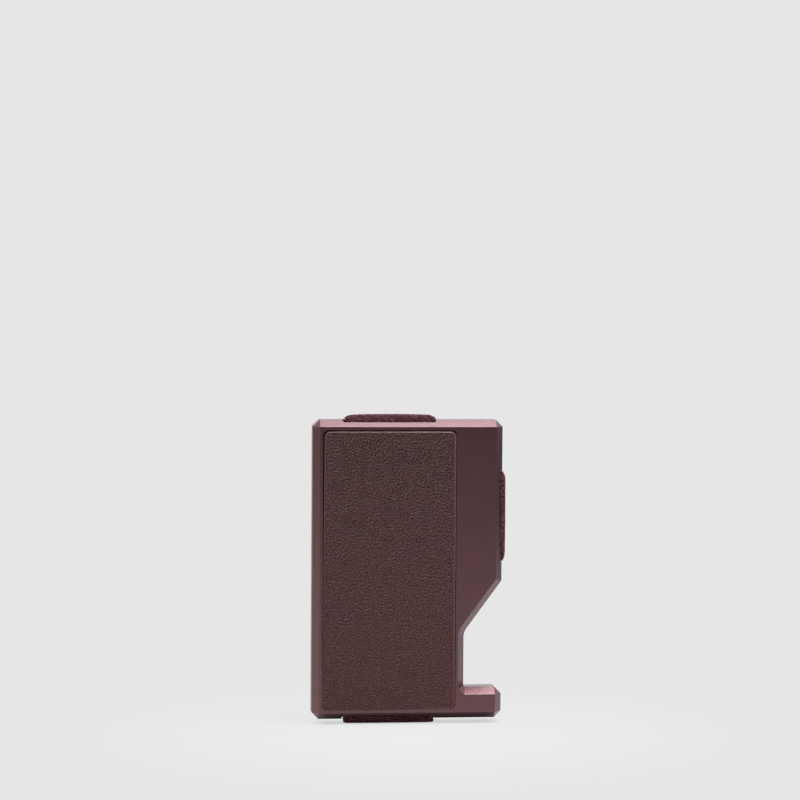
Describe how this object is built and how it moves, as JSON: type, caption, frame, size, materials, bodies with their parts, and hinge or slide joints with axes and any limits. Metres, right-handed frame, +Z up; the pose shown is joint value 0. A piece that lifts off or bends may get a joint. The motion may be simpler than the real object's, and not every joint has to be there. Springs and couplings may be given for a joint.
{
  "type": "magnetic phone card holder",
  "caption": "Slim two-plate card holder with leather inlay, knit elastics, thumb notch and a magnet ring that grips the back of a phone.",
  "frame": {"origin": "middle of the holder's foot print, on the surface that it stands on", "axes": "+Z up along the card's long side, -Y out of the leather face, +Y out of the magnet face, +X towards the thumb notch"},
  "size_m": [0.0572, 0.0088, 0.091],
  "materials": {
    "anodised_aluminium": "bead-blasted, anodised burgundy",
    "leather": "fine-grained, burgundy brown",
    "adhesive_film": "double-sided film",
    "liner_nylon": "moulded matte black",
    "elastic_knit": "knitted burgundy elastic",
    "screw_steel": "plain",
    "shunt_steel": "plain",
    "magnet_nickel": "nickel plated",
    "pad_microfibre": "soft microfibre"
  },
  "bodies": {
    "rear_half": {"rear_shell": "anodised_aluminium", "rear_liner": "liner_nylon", "rear_liner_screw_1": "screw_steel", "rear_liner_screw_2": "screw_steel", "rear_liner_screw_3": "screw_steel", "rear_liner_screw_4": "screw_steel", "rear_liner_screw_5": "screw_steel", "rear_liner_screw_6": "screw_steel", "steel_shunt_ring": "shunt_steel", "ring_magnet_01": "magnet_nickel", "ring_magnet_02": "magnet_nickel", "ring_magnet_03": "magnet_nickel", "ring_magnet_04": "magnet_nickel", "ring_magnet_05": "magnet_nickel", "ring_magnet_06": "magnet_nickel", "ring_magnet_07": "magnet_nickel", "ring_magnet_08": "magnet_nickel", "ring_magnet_09": "magnet_nickel", "ring_magnet_10": "magnet_nickel", "ring_magnet_11": "magnet_nickel", "ring_magnet_12": "magnet_nickel", "ring_magnet_13": "magnet_nickel", "ring_magnet_14": "magnet_nickel", "ring_magnet_15": "magnet_nickel", "ring_magnet_16": "magnet_nickel", "key_magnet": "magnet_nickel", "pad_adhesive": "adhesive_film", "rear_pad": "pad_microfibre", "elastic_band_long": "elastic_knit", "elastic_band_foot": "elastic_knit", "elastic_band_side": "elastic_knit"},
    "front_half": {"front_shell": "anodised_aluminium", "leather_inlay": "leather", "leather_adhesive": "adhesive_film", "front_liner": "liner_nylon", "front_liner_screw_1": "screw_steel", "front_liner_screw_2": "screw_steel", "front_liner_screw_3": "screw_steel", "front_liner_screw_4": "screw_steel", "front_liner_screw_5": "screw_steel", "front_liner_screw_6": "screw_steel"}
  },
  "joints": [
    {"name": "plate_spread", "type": "slide", "parent": "rear_half", "child": "front_half", "axis": [0, -1, 0], "range_m": [0, 0.006], "stiffness_N_per_m": 700, "springref_m": -0.005, "deforming": ["elastic_band_long", "elastic_band_foot", "elastic_band_side"]}
  ]
}
